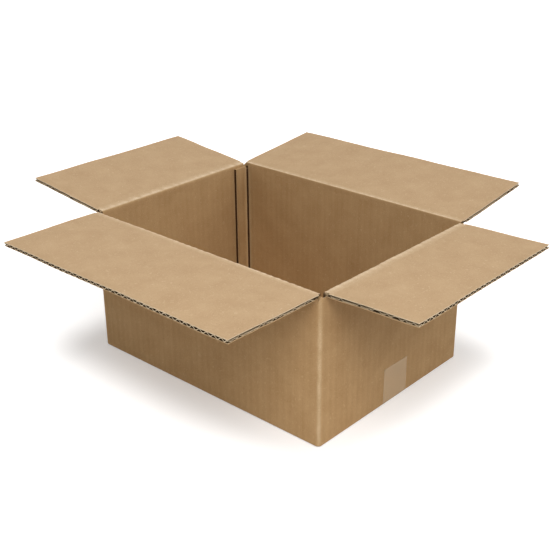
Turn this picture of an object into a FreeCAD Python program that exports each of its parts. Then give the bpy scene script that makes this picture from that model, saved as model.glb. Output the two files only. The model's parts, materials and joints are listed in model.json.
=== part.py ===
import FreeCAD, Part
import math
import os

# An open box folded from one sheet of corrugated board. Millimetres, +Z up.
# The origin is the middle of the standing face. The long walls face -Y (front)
# and +Y (back), and the short walls face -X (left) and +X (right).

# Box body, over its outer faces. The height is that of the top creases.
box_length = 305.0
box_width = 229.0
crease_height = 152.0

# Corrugated board: two flat liners with a wavy medium between them.
board = 3.2
liner = 0.4
medium = 0.4
flute_pitch = 8.2
flute_foot = 0.8
flute_crown = 0.9

# Solid board left beside a crease and along a side edge, and the depth to which
# the flute that was cut lengthwise stands open in a side edge.
pressed_band = 2.0
side_web = 1.0
side_groove = 1.5

# Outer radii of the upright folds, the bottom folds and the fold of the glue tab.
corner_radius = 4.0
bottom_radius = 1.6
tab_fold_radius = 3.0

# Glue tab, folded from the back wall and stuck to the inside of the left wall.
tab_reach = 24.0
tab_top_gap = 4.0
tab_bottom_gap = 1.0
left_wall_end_gap = 1.0

# Top flaps: how far each reaches past its wall's outer face when it lies level,
# and how far its two ends stay inside the outer faces of the walls beside it.
long_flap_reach = 110.8
left_flap_reach = 113.0
right_flap_reach = 96.0
long_flap_setback = 1.5
short_flap_setback = 6.5

# Angle of each flap above the level in the open box.
front_flap_rise = 0.5
back_flap_rise = 6.0
left_flap_rise = 5.5
right_flap_rise = 1.7

# Top creases. A long flap turns about the middle of the board, so that it closes
# on top of the short flaps, and it drops a part of the way below the level.
# A short flap turns just outside the board, and it drops until it hangs.
long_axis_inset = board / 2
long_drop = 60.0
short_axis_inset = -0.15
short_drop = 90.0
crease_play = 0.1

# Bottom flaps. The short ones lie on the long ones, which meet at a seam.
short_bottom_reach = 113.0
long_bottom_setback = 6.5
short_bottom_setback = 4.0
bottom_seam = 1.0
lay_gap = 0.2
slot_root_height = 1.0

# Tape along the bottom seam, turned up on both short walls.
tape_width = 38.0
tape_thickness = 0.1
tape_rise = 40.0
tape_offset = 3.0

# Levels of the folded bottom.
long_bottom_level = tape_thickness
short_bottom_level = long_bottom_level + board + lay_gap
inside_floor = short_bottom_level + board

half_length = box_length / 2
half_width = box_width / 2
past_edge = 1.0


def level_prism(section, width):
    """A solid with a section of (outward, up) points in XZ, and its width along Y, centred."""
    corners = [FreeCAD.Vector(x, -width / 2, z) for x, z in section]
    outline = Part.makePolygon(corners + corners[:1])
    return Part.Face(outline).extrude(FreeCAD.Vector(0, width, 0))


def block(x_limits, y_limits, z_limits):
    """A block between three pairs of limits."""
    low = FreeCAD.Vector(x_limits[0], y_limits[0], z_limits[0])
    length = x_limits[1] - x_limits[0]
    width = y_limits[1] - y_limits[0]
    height = z_limits[1] - z_limits[0]
    return Part.makeBox(length, width, height, low)


def placed(shape, heading, x, y):
    """The shape with its +X turned to the heading, and its origin moved to (x, y)."""
    moved = shape.copy()
    moved.rotate(FreeCAD.Vector(0, 0, 0), FreeCAD.Vector(0, 0, 1), heading)
    moved.translate(FreeCAD.Vector(x, y, 0))
    return moved


def facing_out(side, shape):
    """The shape on the given wall, with its +X pointing outwards from the outer face."""
    if side == "front":
        return placed(shape, -90, 0, -half_width)
    if side == "back":
        return placed(shape, 90, 0, half_width)
    if side == "left":
        return placed(shape, 180, -half_length, 0)
    return placed(shape, 0, half_length, 0)


def facing_in(side, shape):
    """The shape on the given wall, with its +X pointing inwards from the outer face."""
    mirrored = shape.mirror(FreeCAD.Vector(0, 0, 0), FreeCAD.Vector(1, 0, 0))
    return facing_out(side, mirrored)


def channel(middle, base, base_half, crown, crown_half, start, end):
    """One flute's air: a trapezoid that stands on a liner, carried along X."""
    corners = [
        FreeCAD.Vector(start, middle - base_half, base),
        FreeCAD.Vector(start, middle + base_half, base),
        FreeCAD.Vector(start, middle + crown_half, crown),
        FreeCAD.Vector(start, middle - crown_half, crown),
    ]
    outline = Part.makePolygon(corners + corners[:1])
    return Part.Face(outline).extrude(FreeCAD.Vector(end - start, 0, 0))


def flute_air(start, end, width, underside):
    """The air in a level panel: channels along X under and over the waves of the medium,
    and the flute that stands open along each side edge."""
    low = underside + liner
    high = underside + board - liner
    base_half = flute_pitch / 2 - flute_foot
    count = int((width - 2 * (side_groove + side_web)) / flute_pitch)
    first = -(count - 1) * flute_pitch / 2
    air = []
    for wave in range(count):
        middle = first + wave * flute_pitch
        crown = high - medium
        air.append(channel(middle, low, base_half, crown, flute_crown, start, end))
    for wave in range(count - 1):
        middle = first + (wave + 0.5) * flute_pitch
        crown = low + medium
        air.append(channel(middle, high, base_half, crown, flute_crown, start, end))
    groove_floor = width / 2 - side_groove
    groove_mouth = width / 2 + past_edge
    air.append(block((start, end), (groove_floor, groove_mouth), (low, high)))
    air.append(block((start, end), (-groove_mouth, -groove_floor), (low, high)))
    return Part.makeCompound(air)


def wall_top(inset, drop):
    """Section of a wall's top edge, from the outer face at X = 0 to the inner face.

    The edge is a mitre on the inside and, where the flap turns about a line within the
    board, a bevel on the outside. Both leave the play short of the axis, and together
    they take half of the angle that the closing and the drop leave free."""
    sector = math.radians(90 - drop / 2)
    bevel_angle = math.radians(225) + sector
    tip_angle = math.radians(225) + sector / 2
    tip_distance = crease_play / math.sin(sector / 2)
    tip_x = -inset + tip_distance * math.cos(tip_angle)
    tip_z = crease_height + inset + tip_distance * math.sin(tip_angle)
    inner_corner = (-board, tip_z - tip_x - board)
    if tip_x >= 0:
        return [(0, tip_z - tip_x), inner_corner]
    outer_corner = (0, tip_z - tip_x * math.tan(bevel_angle))
    return [outer_corner, (tip_x, tip_z), inner_corner]


def wall(length, inset, drop):
    """A wall with its outer face at X = 0, from the bottom fold to the top crease."""
    section = [(-board, long_bottom_level), (0, long_bottom_level)]
    return level_prism(section + wall_top(inset, drop), length)


def top_flap(width, reach, inset, drop, rise):
    """A top flap that points along +X from a wall with its outer face at X = 0.

    Its root is the wall's top edge, folded over the line where the wall's outer face
    meets the flap's underside."""
    root = [(crease_height - z, crease_height - x) for x, z in wall_top(inset, drop)]
    far_edge = [(reach, crease_height + board), (reach, crease_height)]
    flap = level_prism(root + far_edge, width)
    air_start = max(x for x, z in root) + pressed_band
    flap = flap.cut(flute_air(air_start, reach + past_edge, width, crease_height))
    axis_point = FreeCAD.Vector(-inset, 0, crease_height + inset)
    flap.rotate(axis_point, FreeCAD.Vector(0, -1, 0), rise)
    return flap


def long_flap(side, rise):
    """The front or back top flap, which closes over the short ones."""
    width = box_length - 2 * long_flap_setback
    return facing_out(side, top_flap(width, long_flap_reach, long_axis_inset, long_drop, rise))


def short_flap(side, reach, rise):
    """The left or right top flap, which closes under the long ones."""
    width = box_width - 2 * short_flap_setback
    return facing_out(side, top_flap(width, reach, short_axis_inset, short_drop, rise))


def long_bottom_flap():
    """A long bottom flap, pointing along +X from the wall's outer face to the seam."""
    top = long_bottom_level + board
    end = half_width - bottom_seam / 2
    section = [(board / 2, long_bottom_level), (end, long_bottom_level), (end, top), (board / 2, top)]
    return level_prism(section, box_length - 2 * long_bottom_setback)


def short_bottom_flap():
    """A short bottom flap, pointing along +X. Beside its crease it rises by one board,
    past the end of the long flap, and then it lies on the long flaps."""
    width = box_width - 2 * short_bottom_setback
    rise_end = long_bottom_setback - lay_gap
    section = [
        (board / 2, long_bottom_level),
        (board, long_bottom_level),
        (rise_end, short_bottom_level),
        (short_bottom_reach, short_bottom_level),
        (short_bottom_reach, inside_floor),
        (board / 2, inside_floor),
    ]
    flap = level_prism(section, width)
    air_start = rise_end + board + pressed_band
    return flap.cut(flute_air(air_start, short_bottom_reach + past_edge, width, short_bottom_level))


def glue_tab():
    """The tab along the inside of the left wall, with an open flute in its free edge."""
    face = -half_length + board
    free_edge = half_width - tab_reach
    heights = (inside_floor + tab_bottom_gap, crease_height - tab_top_gap)
    tab = block((face - board / 2, face + board), (free_edge, half_width - board / 2), heights)
    groove_x = (face + liner, face + board - liner)
    return tab.cut(block(groove_x, (free_edge - past_edge, free_edge + side_groove), heights))


def arc(x, y, radius, start_angle, end_angle):
    """An arc in XY about (x, y), between two angles in degrees."""
    points = []
    for angle in (start_angle, (start_angle + end_angle) / 2, end_angle):
        turn = math.radians(angle)
        points.append(FreeCAD.Vector(x + radius * math.cos(turn), y + radius * math.sin(turn), 0))
    return Part.Arc(*points).toShape()


def joined(pieces):
    """A closed wire of the given arcs and corner points, with straight runs between them."""
    edges = []
    first = None
    last = None
    for piece in pieces:
        is_arc = isinstance(piece, Part.Edge)
        start = piece.valueAt(piece.FirstParameter) if is_arc else piece
        end = piece.valueAt(piece.LastParameter) if is_arc else piece
        if last is None:
            first = start
        else:
            edges.append(Part.makeLine(last, start))
        if is_arc:
            edges.append(piece)
        last = end
    edges.append(Part.makeLine(last, first))
    return Part.Wire(edges)


def plan_outline():
    """The walls' outline from above. Three upright folds are rounded. At the fourth, the
    back wall folds in beside the raw end of the left wall."""
    x = half_length
    y = half_width
    inside_left = -x + board
    wall_end = y - left_wall_end_gap
    return joined([
        arc(x - corner_radius, -y + corner_radius, corner_radius, -90, 0),
        arc(x - corner_radius, y - corner_radius, corner_radius, 0, 90),
        arc(inside_left + tab_fold_radius, y - tab_fold_radius, tab_fold_radius, 90, 180),
        FreeCAD.Vector(inside_left, wall_end, 0),
        FreeCAD.Vector(-x, wall_end, 0),
        arc(-x + corner_radius, -y + corner_radius, corner_radius, 180, 270),
    ])


def bottom_rounding(width):
    """What comes off a wall's bottom edge to round it. The outer face is at X = 0."""
    low = long_bottom_level - past_edge
    high = long_bottom_level + bottom_radius
    section = [(-bottom_radius, low), (past_edge, low), (past_edge, high), (-bottom_radius, high)]
    strip = level_prism(section, width)
    centre = FreeCAD.Vector(-bottom_radius, -width / 2, high)
    fold = Part.makeCylinder(bottom_radius, width, centre, FreeCAD.Vector(0, 1, 0))
    return strip.cut(fold)


def slot_roots():
    """The low notches at the four corners, where the slots between bottom flaps end."""
    heights = (long_bottom_level - past_edge, long_bottom_level + slot_root_height)
    roots = []
    for x_side in (-1, 1):
        for y_side in (-1, 1):
            inner_x = x_side * (half_length - long_bottom_setback)
            inner_y = y_side * (half_width - short_bottom_setback)
            outer_x = x_side * (half_length + past_edge)
            outer_y = y_side * (half_width + past_edge)
            x_limits = sorted((inner_x, outer_x))
            y_limits = sorted((inner_y, outer_y))
            roots.append(block(x_limits, y_limits, heights))
    return Part.makeCompound(roots)


def raw_wall_end():
    """The flute that stands open in the upright raw end of the left wall."""
    x_limits = (-half_length + liner, -half_length + board - liner)
    mouth = half_width - left_wall_end_gap
    top = crease_height - board - pressed_band
    return block(x_limits, (mouth - side_groove, mouth + past_edge), (inside_floor, top))


def box_body():
    """Four walls, the glue tab and the taped bottom flaps, as one folded sheet."""
    long_wall = wall(box_length, long_axis_inset, long_drop)
    short_wall = wall(box_width, short_axis_inset, short_drop)
    pieces = [facing_out("back", long_wall)]
    pieces.append(facing_out("left", short_wall))
    pieces.append(facing_out("right", short_wall))
    pieces.append(glue_tab())
    for side in ("front", "back"):
        pieces.append(facing_in(side, long_bottom_flap()))
    for side in ("left", "right"):
        pieces.append(facing_in(side, short_bottom_flap()))
    body = facing_out("front", long_wall).multiFuse(pieces)
    footing = Part.Face(plan_outline()).extrude(FreeCAD.Vector(0, 0, crease_height + board))
    body = body.common(footing)
    for side in ("front", "back"):
        body = body.cut(facing_out(side, bottom_rounding(box_length + past_edge)))
    for side in ("left", "right"):
        body = body.cut(facing_out(side, bottom_rounding(box_width + past_edge)))
    return body.cut(slot_roots()).cut(raw_wall_end()).removeSplitter()


def bottom_tape():
    """The tape under the seam and up both short walls, as one bent strip."""
    x = half_length - bottom_radius
    z = long_bottom_level + bottom_radius
    outer = bottom_radius + tape_thickness
    section = joined([
        FreeCAD.Vector(-half_length, tape_rise, 0),
        FreeCAD.Vector(-half_length - tape_thickness, tape_rise, 0),
        arc(-x, z, outer, 180, 270),
        arc(x, z, outer, 270, 360),
        FreeCAD.Vector(half_length + tape_thickness, tape_rise, 0),
        FreeCAD.Vector(half_length, tape_rise, 0),
        arc(x, z, bottom_radius, 360, 270),
        arc(-x, z, bottom_radius, 270, 180),
    ])
    strip = Part.Face(section).extrude(FreeCAD.Vector(0, 0, tape_width))
    strip.rotate(FreeCAD.Vector(0, 0, 0), FreeCAD.Vector(1, 0, 0), 90)
    strip.translate(FreeCAD.Vector(0, tape_offset + tape_width / 2, 0))
    return strip


def main():
    """Writes one STEP file for each sub-part."""
    sub_parts = {
        "box_body": box_body(),
        "bottom_tape": bottom_tape(),
        "front_flap": long_flap("front", front_flap_rise),
        "back_flap": long_flap("back", back_flap_rise),
        "left_flap": short_flap("left", left_flap_reach, left_flap_rise),
        "right_flap": short_flap("right", right_flap_reach, right_flap_rise),
    }
    os.makedirs("parts", exist_ok=True)
    for name, shape in sub_parts.items():
        solid = shape.Solids[0]
        solid.exportStep("parts/" + name + ".step")
        print(name, "solids", len(shape.Solids), "valid", solid.isValid(), "mm3", round(solid.Volume))


main()
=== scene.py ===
"""Open corrugated box: the fluted boards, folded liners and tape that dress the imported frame.

Everything is in metres in the frame's own axes: the box stands on z = 0, its long walls face
-Y (front) and +Y (back), and its short walls face -X (left) and +X (right).
"""

import json
import logging
import math
from dataclasses import dataclass
from enum import Enum
from typing import Any, Optional, Sequence

import bpy
import numpy as np
from mathutils import Matrix, Vector


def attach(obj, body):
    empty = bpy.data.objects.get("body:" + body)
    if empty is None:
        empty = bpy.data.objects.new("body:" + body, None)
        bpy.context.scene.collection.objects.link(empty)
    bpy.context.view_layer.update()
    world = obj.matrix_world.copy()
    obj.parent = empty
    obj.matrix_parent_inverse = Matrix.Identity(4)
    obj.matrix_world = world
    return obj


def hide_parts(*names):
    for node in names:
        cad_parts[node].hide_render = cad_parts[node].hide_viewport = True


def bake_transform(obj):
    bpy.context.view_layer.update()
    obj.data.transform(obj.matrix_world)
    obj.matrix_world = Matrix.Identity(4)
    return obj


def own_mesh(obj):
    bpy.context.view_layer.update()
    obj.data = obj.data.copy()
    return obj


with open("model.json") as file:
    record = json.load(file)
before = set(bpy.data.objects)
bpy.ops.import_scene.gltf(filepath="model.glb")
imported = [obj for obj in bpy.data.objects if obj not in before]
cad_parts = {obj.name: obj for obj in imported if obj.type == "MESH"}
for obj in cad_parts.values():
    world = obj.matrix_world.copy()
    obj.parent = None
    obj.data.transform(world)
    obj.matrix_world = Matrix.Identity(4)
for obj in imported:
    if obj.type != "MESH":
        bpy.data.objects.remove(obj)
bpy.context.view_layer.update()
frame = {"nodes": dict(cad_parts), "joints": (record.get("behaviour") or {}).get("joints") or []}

LOG = logging.getLogger("open_box")
MM = 0.001
UP = np.array((0.0, 0.0, 1.0))
SHARP_DEGREES = 50
LINES_PER_FLUTE = 6
ARC_POINTS = 13

Tree = bpy.types.NodeTree
Socket = bpy.types.NodeSocket
Material = bpy.types.Material
Piece = bpy.types.Object

# Places of the sockets of a colour Mix node, which share their names with hidden ones.
MIX_SHARE, MIX_FIRST, MIX_SECOND, MIX_COLOUR = 0, 6, 7, 2


class Side(Enum):
    """A wall of the box, with the direction that its outer face looks in."""

    FRONT = (0.0, -1.0)
    BACK = (0.0, 1.0)
    LEFT = (-1.0, 0.0)
    RIGHT = (1.0, 0.0)

    @property
    def label(self) -> str:
        """The side's word in the names of nodes, bodies and joints."""
        return self.name.lower()

    @property
    def outward(self) -> np.ndarray:
        """The level unit vector that points away from the box."""
        return np.array((*self.value, 0.0))

    @property
    def is_long(self) -> bool:
        """Whether this is a long wall, whose flap closes on top."""
        return self.value[0] == 0.0


class Skin(Enum):
    """The place of each finish in a board piece's material slots."""

    INSIDE = 0
    OUTSIDE = 1
    CUT = 2
    # The dark medium paper, drawn darker than the real paper as painted shade.
    MEDIUM = 3
    # The inner walls' copy of the inside paper, drawn darker as painted shade.
    WALL = 4


@dataclass(frozen=True)
class Board:
    """Single-wall corrugated board: two liners with a waved medium between them.

    Beside a crease the board is pressed solid over the width pressed. At a cut edge the liners
    spring away from the medium, the die leaves a burr, and the medium frays thicker.
    """

    thickness: float = 3.2 * MM
    liner: float = 0.42 * MM
    medium: float = 0.42 * MM
    pitch: float = 8.2 * MM
    pressed: float = 2.0 * MM
    side_margin: float = 2.5 * MM
    print_depth: float = 0.03 * MM
    burr: float = 0.1 * MM
    sprung: float = 0.3 * MM
    frayed: float = 0.26 * MM
    bedded: float = 0.03 * MM

    @property
    def wave(self) -> float:
        """Half of the height that the middle of the medium moves through, bedded in both liners."""
        return (self.thickness - 2 * self.liner - self.medium) / 2 + self.bedded


BOARD = Board()


@dataclass
class Shell:
    """A closed surface: points, quads, the skin of each quad, flat coordinates, and fold wear with painted
    highlights.
    """

    points: np.ndarray
    quads: np.ndarray
    skins: np.ndarray
    smooth: np.ndarray
    flat: np.ndarray
    wear: np.ndarray


def linear_colour(hex_code: str) -> tuple[float, float, float, float]:
    """Turns an sRGB hex code into Blender's linear colour.

    Each channel c is c / 12.92 below 0.04045, and ((c + 0.055) / 1.055) to the power 2.4 above.

    Args:
        hex_code: six hex digits with a leading #.

    Returns:
        Linear red, green, blue and an alpha of one.
    """
    channels = np.array([int(hex_code[i:i + 2], 16) / 255 for i in (1, 3, 5)])
    linear = np.where(channels < 0.04045, channels / 12.92, ((channels + 0.055) / 1.055) ** 2.4)
    return (*linear.tolist(), 1.0)


def smoothstep(value: np.ndarray) -> np.ndarray:
    """Eases 0 to 1: t squared times (3 - 2 t), with t the value held between 0 and 1."""
    t = np.clip(value, 0.0, 1.0)
    return t * t * (3 - 2 * t)


def edge_fade(distance: np.ndarray, width: float) -> np.ndarray:
    """One where the distance is zero, easing to zero at the width."""
    return smoothstep(1 - distance / width)


def path_length(line: np.ndarray) -> np.ndarray:
    """How far along a line of points each of them lies."""
    return np.concatenate(([0.0], np.cumsum(np.linalg.norm(np.diff(line, axis=0), axis=1))))


def paired(*parts: np.ndarray) -> np.ndarray:
    """Coordinates on a last axis, from arrays that are spread to one grid."""
    return np.stack(np.broadcast_arrays(*parts), -1)


def ripple(x: np.ndarray, y: np.ndarray, wavelength: float, seed: int) -> np.ndarray:
    """Uneven waves of about unit height over two coordinates.

    The formula is the mean of seven sines, each with its own seeded direction, phase and
    wavelength, scaled so that the result mostly lies between -1 and 1.

    Args:
        x: first coordinate, in metres.
        y: second coordinate, in metres.
        wavelength: typical distance between crests, in metres.
        seed: picks the directions and phases.

    Returns:
        The height of the waves at each point.
    """
    rng = np.random.default_rng(seed)
    count = 7
    heading = rng.uniform(0, math.tau, count)
    phase = rng.uniform(0, math.tau, count)
    number = math.tau / (wavelength * rng.uniform(0.6, 1.7, count))
    x, y = np.broadcast_arrays(np.asarray(x, float), np.asarray(y, float))
    angle = (x[..., None] * np.cos(heading) + y[..., None] * np.sin(heading)) * number + phase
    return np.sin(angle).sum(-1) / math.sqrt(count)


def closed_sheet(front: np.ndarray, back: np.ndarray, flat: np.ndarray, wear: np.ndarray,
                 skins: Sequence[Skin]) -> Shell:
    """Closes two surfaces on one grid into a sheet: both faces, and quads round the rim.

    The front's quads look along (row step) x (column step). Where that points at the back
    surface, the whole sheet is turned over, so faces always point outwards.

    Args:
        front: points, as rows x columns x 3.
        back: points of the other face, on the same grid.
        flat: coordinates across and along the flutes in metres, as rows x columns x 2.
        wear: fold wear and painted highlights from 0 to 1, as rows x columns.
        skins: the skins of the front, the back and the rim.

    Returns:
        The closed sheet.
    """
    rows, columns = front.shape[:2]
    f = np.arange(rows * columns).reshape(rows, columns)
    b = f + rows * columns

    def ring(grid: np.ndarray) -> np.ndarray:
        """The quads of one face."""
        corners = (grid[:-1, :-1], grid[1:, :-1], grid[1:, 1:], grid[:-1, 1:])
        return np.stack(corners, -1).reshape(-1, 4)

    rim = [
        np.stack((f[1:, 0], f[:-1, 0], b[:-1, 0], b[1:, 0]), -1),
        np.stack((f[:-1, -1], f[1:, -1], b[1:, -1], b[:-1, -1]), -1),
        np.stack((f[0, :-1], f[0, 1:], b[0, 1:], b[0, :-1]), -1),
        np.stack((f[-1, 1:], f[-1, :-1], b[-1, :-1], b[-1, 1:]), -1),
    ]
    faces = [ring(f), ring(b)[:, ::-1], np.concatenate(rim)]
    normal = np.cross(front[1:, :-1] - front[:-1, :-1], front[:-1, 1:] - front[:-1, :-1])
    if ((front - back)[:-1, :-1] * normal).sum() < 0:
        faces = [quads[:, ::-1] for quads in faces]
    sizes = [len(quads) for quads in faces]
    return Shell(
        points=np.concatenate((front.reshape(-1, 3), back.reshape(-1, 3))),
        quads=np.concatenate(faces),
        skins=np.repeat([skin.value for skin in skins], sizes),
        smooth=np.repeat([True, True, False], sizes),
        flat=np.concatenate((flat.reshape(-1, 2),) * 2),
        wear=np.concatenate((wear.ravel(),) * 2),
    )


def add_piece(name: str, shells: Sequence[Shell], materials: Sequence[Material]) -> Piece:
    """Puts closed surfaces into one mesh object at the origin.

    Args:
        name: the piece's name.
        shells: its closed surfaces, in the frame's axes.
        materials: the material of each skin, in the order of Skin.

    Returns:
        The new object, linked into the scene.
    """
    starts = np.cumsum([0] + [len(shell.points) for shell in shells[:-1]])
    points = np.concatenate([shell.points for shell in shells])
    quads = np.concatenate([shell.quads + start for shell, start in zip(shells, starts)])
    flat = np.concatenate([shell.flat for shell in shells])
    mesh = bpy.data.meshes.new(name)
    mesh.from_pydata(points.tolist(), [], quads.tolist())
    skins = np.concatenate([shell.skins for shell in shells]).astype(np.int32)
    mesh.polygons.foreach_set("material_index", skins)
    mesh.polygons.foreach_set("use_smooth", np.concatenate([shell.smooth for shell in shells]))
    corners = np.zeros(len(mesh.loops), np.int32)
    mesh.loops.foreach_get("vertex_index", corners)
    mesh.uv_layers.new(name="flat").data.foreach_set("uv", flat[corners].ravel())
    # The attribute holds real wear and painted highlights, which the papers mix into their worn colour.
    wear = np.concatenate([shell.wear for shell in shells]).astype(np.float32)
    mesh.attributes.new("wear", "FLOAT", "POINT").data.foreach_set("value", wear)
    for material in materials:
        mesh.materials.append(material)
    mesh.set_sharp_from_angle(angle=math.radians(SHARP_DEGREES))
    mesh.update()
    piece = bpy.data.objects.new(name, mesh)
    bpy.context.scene.collection.objects.link(piece)
    return piece


def report(piece: Piece) -> None:
    """Logs a finished piece with its number of faces."""
    LOG.info("%s: %d faces", piece.name, len(piece.data.polygons))


def add_node(tree: Tree, kind: str, inputs: Optional[dict[Any, Any]] = None,
             **settings: Any) -> bpy.types.Node:
    """Adds a node with its settings and links.

    Args:
        tree: the node tree.
        kind: Blender's name of the node type, without the ShaderNode in front.
        inputs: for a socket's name or place, a value, or a socket to link from.
        settings: properties of the node itself.

    Returns:
        The new node.
    """
    made = tree.nodes.new("ShaderNode" + kind)
    for name, value in settings.items():
        setattr(made, name, value)
    for name, value in (inputs or {}).items():
        if isinstance(value, Socket):
            tree.links.new(value, made.inputs[name])
        else:
            made.inputs[name].default_value = value
    return made


def new_material(name: str) -> tuple[Material, Tree]:
    """A material with an empty node tree."""
    material = bpy.data.materials.new(name)
    material.use_nodes = True
    material.node_tree.nodes.clear()
    return material, material.node_tree


class Pattern(Enum):
    """Where a paper pattern takes its coordinates from."""

    PANEL = "the piece's own flat coordinates, across and along the flutes"
    BOX = "object coordinates, with the flutes along X as on the short bottom flaps"


@dataclass(frozen=True)
class KraftPaper:
    """Unbleached kraft paper, made on a wire from long softwood pulp and pressed matt.

    The eye sees a warm tan with soft clouds where the pulp lay thicker, pale fibres a few
    millimetres long, a few dark specks, and faint stripes where the flutes print through.
    """

    name: str
    light: str
    dark: str
    fibre: str
    speck: str
    worn_and_highlight: str
    pattern: Pattern = Pattern.PANEL
    streaks: float = 0.3
    flute_tone: float = 0.05
    roughness: float = 0.8
    specular: float = 0.3
    wear_and_highlight_patches: float = 0.7
    cloud_size: float = 26.0
    cloud_weight: float = 0.9
    grain_size: float = 0.9
    grain_weight: float = 0.75
    fibre_width: float = 0.9
    fibre_length: float = 4.5
    fibre_range: tuple[float, float] = (0.60, 0.74)
    fibre_share: float = 0.42
    swirl_size: float = 7.0
    swirl_reach: float = 14.0
    speck_size: float = 1.6
    speck_range: tuple[float, float] = (0.66, 0.78)
    speck_share: float = 0.40
    speck_shift: tuple[float, float, float] = (37.0, 11.0, 5.0)
    streak_width: float = 1.7
    streak_length: float = 80.0
    wear_and_highlight_range: tuple[float, float] = (0.3, 0.62)
    bump_depth: float = 0.05 * MM
    bump_strength: float = 0.55

    def material(self) -> Material:
        """Builds the paper. Its sizes are in millimetres, and a noise scale is one over a size.

        Fibres, specks and grain are about three times as wide as real ones, which would not
        show at the picture's 1.2 mm a pixel. The tone is the weighted sum of soft clouds, fine
        grain, long streaks and the flutes' cosine, and mixes the dark colour with the light one.

        Returns:
            The material.
        """
        material, tree = new_material(self.name)
        place = self._millimetres(tree)
        across = add_node(tree, "SeparateXYZ", {0: place}).outputs[0]
        cloud = self._noise(tree, place, 1 / self.cloud_size, detail=3.0)
        grain = self._noise(tree, place, 1 / self.grain_size, detail=2.0)
        streak_scale = (1 / self.streak_width, 1 / self.streak_length, 1.0)
        streak = self._noise(tree, self._scaled(tree, place, streak_scale), 1.0, detail=2.0)
        turns = add_node(tree, "Math", {0: across, 1: math.tau / (BOARD.pitch / MM)}, operation="MULTIPLY")
        flute = add_node(tree, "Math", {0: turns.outputs[0]}, operation="COSINE").outputs[0]
        terms = ((cloud, self.cloud_weight), (grain, self.grain_weight), (streak, self.streaks),
                 (flute, self.flute_tone))
        middle = -0.5 * (self.cloud_weight + self.grain_weight + self.streaks) + 0.5
        tone = self._sum(tree, terms, middle)
        colour = self._mix(tree, tone, linear_colour(self.dark), linear_colour(self.light))
        bent = add_node(tree, "VectorMath", {0: place, 1: self._swirl(tree, place)}, operation="ADD")
        fibre_scale = (1 / self.fibre_width, 1 / self.fibre_length, 1.0)
        fibre = self._noise(tree, self._scaled(tree, bent.outputs[0], fibre_scale), 1.0, detail=1.0)
        fibre_share = self._ramp(tree, fibre, *self.fibre_range, self.fibre_share)
        colour = self._mix(tree, fibre_share, colour, linear_colour(self.fibre))
        moved = self._scaled(tree, place, (1.0, 1.0, 1.0), self.speck_shift)
        speck = self._noise(tree, moved, 1 / self.speck_size, detail=1.0)
        speck_share = self._ramp(tree, speck, *self.speck_range, self.speck_share)
        colour = self._mix(tree, speck_share, colour, linear_colour(self.speck))
        # Real wear and painted highlights: the wear attribute mixes in the worn colour, in patches that
        # follow the grain.
        wear = add_node(tree, "Attribute", attribute_name="wear").outputs["Fac"]
        patchy = self._ramp(tree, grain, *self.wear_and_highlight_range, self.wear_and_highlight_patches, 1 - self.wear_and_highlight_patches)
        worn_and_highlight_share = add_node(tree, "Math", {0: wear, 1: patchy}, operation="MULTIPLY", use_clamp=True)
        colour = self._mix(tree, worn_and_highlight_share.outputs[0], colour, linear_colour(self.worn_and_highlight))
        relief = ((grain, 0.6), (fibre, 0.5), (flute, 0.35), (streak, 0.3 * self.streaks))
        height = self._sum(tree, relief, 0.0)
        bump = add_node(tree, "Bump", {"Strength": self.bump_strength, "Distance": self.bump_depth,
                                       "Height": height})
        rough = self._ramp(tree, grain, 0.3, 0.7, 0.1, self.roughness - 0.05)
        shader = add_node(tree, "BsdfPrincipled", {
            "Base Color": colour, "Roughness": rough, "Normal": bump.outputs[0], "IOR": 1.45,
            "Specular IOR Level": self.specular})
        add_node(tree, "OutputMaterial", {"Surface": shader.outputs[0]})
        return material

    def _millimetres(self, tree: Tree) -> Socket:
        """Coordinates in millimetres, X across the flutes and Y along them."""
        source = add_node(tree, "TexCoord")
        if self.pattern is Pattern.PANEL:
            return self._scaled(tree, source.outputs["UV"], (1 / MM,) * 3)
        parts = add_node(tree, "SeparateXYZ", {0: source.outputs["Object"]}).outputs
        turned = add_node(tree, "CombineXYZ", {0: parts[1], 1: parts[0], 2: parts[2]})
        return self._scaled(tree, turned.outputs[0], (1 / MM,) * 3)

    @staticmethod
    def _scaled(tree: Tree, vector: Socket, scale: Sequence[float],
                shift: Sequence[float] = (0.0, 0.0, 0.0)) -> Socket:
        """The vector times a scale, plus a shift."""
        inputs = {"Vector": vector, "Scale": scale, "Location": shift}
        return add_node(tree, "Mapping", inputs).outputs[0]

    @staticmethod
    def _noise(tree: Tree, place: Socket, scale: float,
               detail: float) -> Socket:
        """A noise value from 0 to 1 at the place."""
        inputs = {"Vector": place, "Scale": scale, "Detail": detail, "Roughness": 0.55}
        return add_node(tree, "TexNoise", inputs).outputs[0]

    def _swirl(self, tree: Tree, place: Socket) -> Socket:
        """A slow random shift of up to a few millimetres, which bends the fibres."""
        inputs = {"Vector": place, "Scale": 1 / self.swirl_size, "Detail": 1.0}
        swirl = add_node(tree, "TexNoise", inputs).outputs[1]
        inputs = {0: swirl, "Scale": self.swirl_reach}
        return add_node(tree, "VectorMath", inputs, operation="SCALE").outputs[0]

    @staticmethod
    def _sum(tree: Tree, terms: Sequence[tuple[Socket, float]],
             start: float) -> Socket:
        """The start plus each value times its weight."""
        total: Any = start
        for value, weight in terms:
            total = add_node(tree, "Math", {0: value, 1: weight, 2: total},
                             operation="MULTIPLY_ADD").outputs[0]
        return total

    @staticmethod
    def _ramp(tree: Tree, value: Socket, low: float, high: float,
              top: float, bottom: float = 0.0) -> Socket:
        """Maps low..high to bottom..bottom + top, held at both ends."""
        inputs = {"Value": value, "From Min": low, "From Max": high,
                  "To Min": bottom, "To Max": bottom + top}
        return add_node(tree, "MapRange", inputs).outputs[0]

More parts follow.
